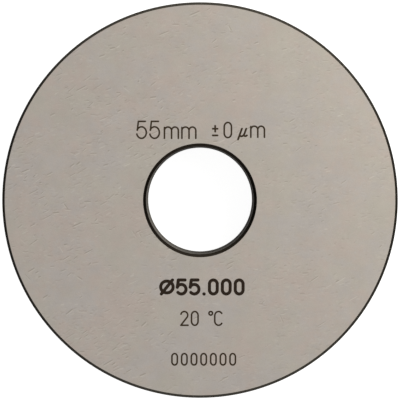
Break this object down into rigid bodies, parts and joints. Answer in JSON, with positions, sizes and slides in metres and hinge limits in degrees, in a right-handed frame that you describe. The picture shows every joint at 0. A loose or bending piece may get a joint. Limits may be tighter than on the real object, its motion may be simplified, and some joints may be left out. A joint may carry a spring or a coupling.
{
  "type": "micrometer setting standard",
  "caption": "Flat lapped steel disc with a ground round rim, chamfered edges and a central through bore, gripped across its rim to set an outside micrometer.",
  "frame": {"origin": "centre of the bore at the back face, the face that the disc lies on", "axes": "+Z along the bore, out through the marked face; +Y towards the size mark, up as its figures read; +X to the right of them"},
  "size_m": [0.055, 0.055, 0.01],
  "materials": {
    "lapped_steel": "lapped satin with short fine lapping strokes, chamfers and bore dark"
  },
  "bodies": {
    "root": {"setting_disc": "lapped_steel"}
  },
  "joints": []
}
